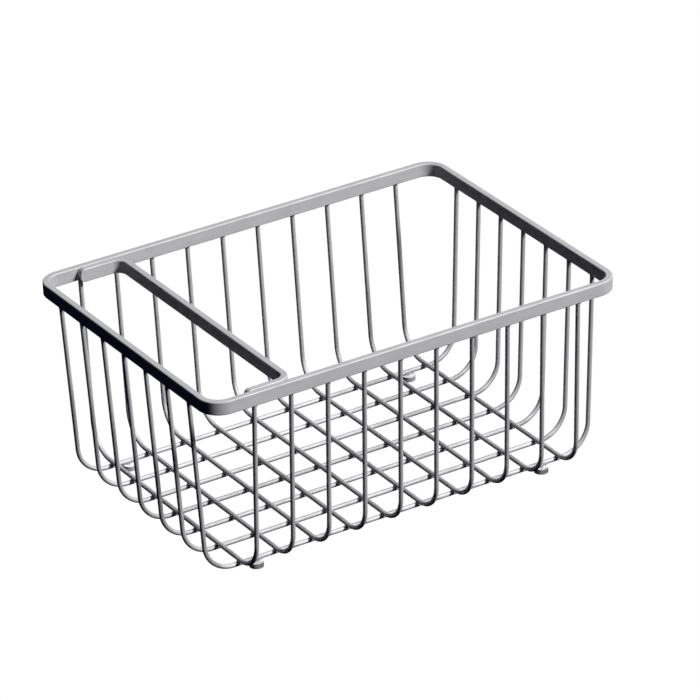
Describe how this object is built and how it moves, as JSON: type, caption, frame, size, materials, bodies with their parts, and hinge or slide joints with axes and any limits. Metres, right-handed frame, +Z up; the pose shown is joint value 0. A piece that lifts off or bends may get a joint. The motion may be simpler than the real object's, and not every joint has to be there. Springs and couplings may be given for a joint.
{
  "type": "wire basket",
  "caption": "Rectangular storage basket of U-bent steel wires welded under a flat-bar rim, with a flat-bar handle across one end and button feet.",
  "frame": {"origin": "on the ground, under the middle of the basket", "axes": "+Z up, +X along the basket away from the handle end, +Y across the basket towards the side that is at the back of the picture"},
  "size_m": [0.4, 0.2904, 0.1832],
  "materials": {
    "rim_bar": "satin, rolled flat bar with softly rounded edges",
    "handle_bar": "satin, rolled flat bar with softly rounded edges",
    "cross_wires": "bright, drawn and polished wire",
    "long_wires": "bright, drawn and polished wire",
    "feet": "satin, turned"
  },
  "bodies": {
    "root": {"rim": "rim_bar", "handle_bar": "handle_bar", "cross_wire_01": "cross_wires", "cross_wire_02": "cross_wires", "cross_wire_03": "cross_wires", "cross_wire_04": "cross_wires", "cross_wire_05": "cross_wires", "cross_wire_06": "cross_wires", "cross_wire_07": "cross_wires", "cross_wire_08": "cross_wires", "cross_wire_09": "cross_wires", "cross_wire_10": "cross_wires", "long_wire_01": "long_wires", "long_wire_02": "long_wires", "long_wire_03": "long_wires", "long_wire_04": "long_wires", "long_wire_05": "long_wires", "long_wire_06": "long_wires", "long_wire_07": "long_wires", "foot_front_left": "feet", "foot_front_right": "feet", "foot_back_left": "feet", "foot_back_right": "feet"}
  },
  "joints": []
}
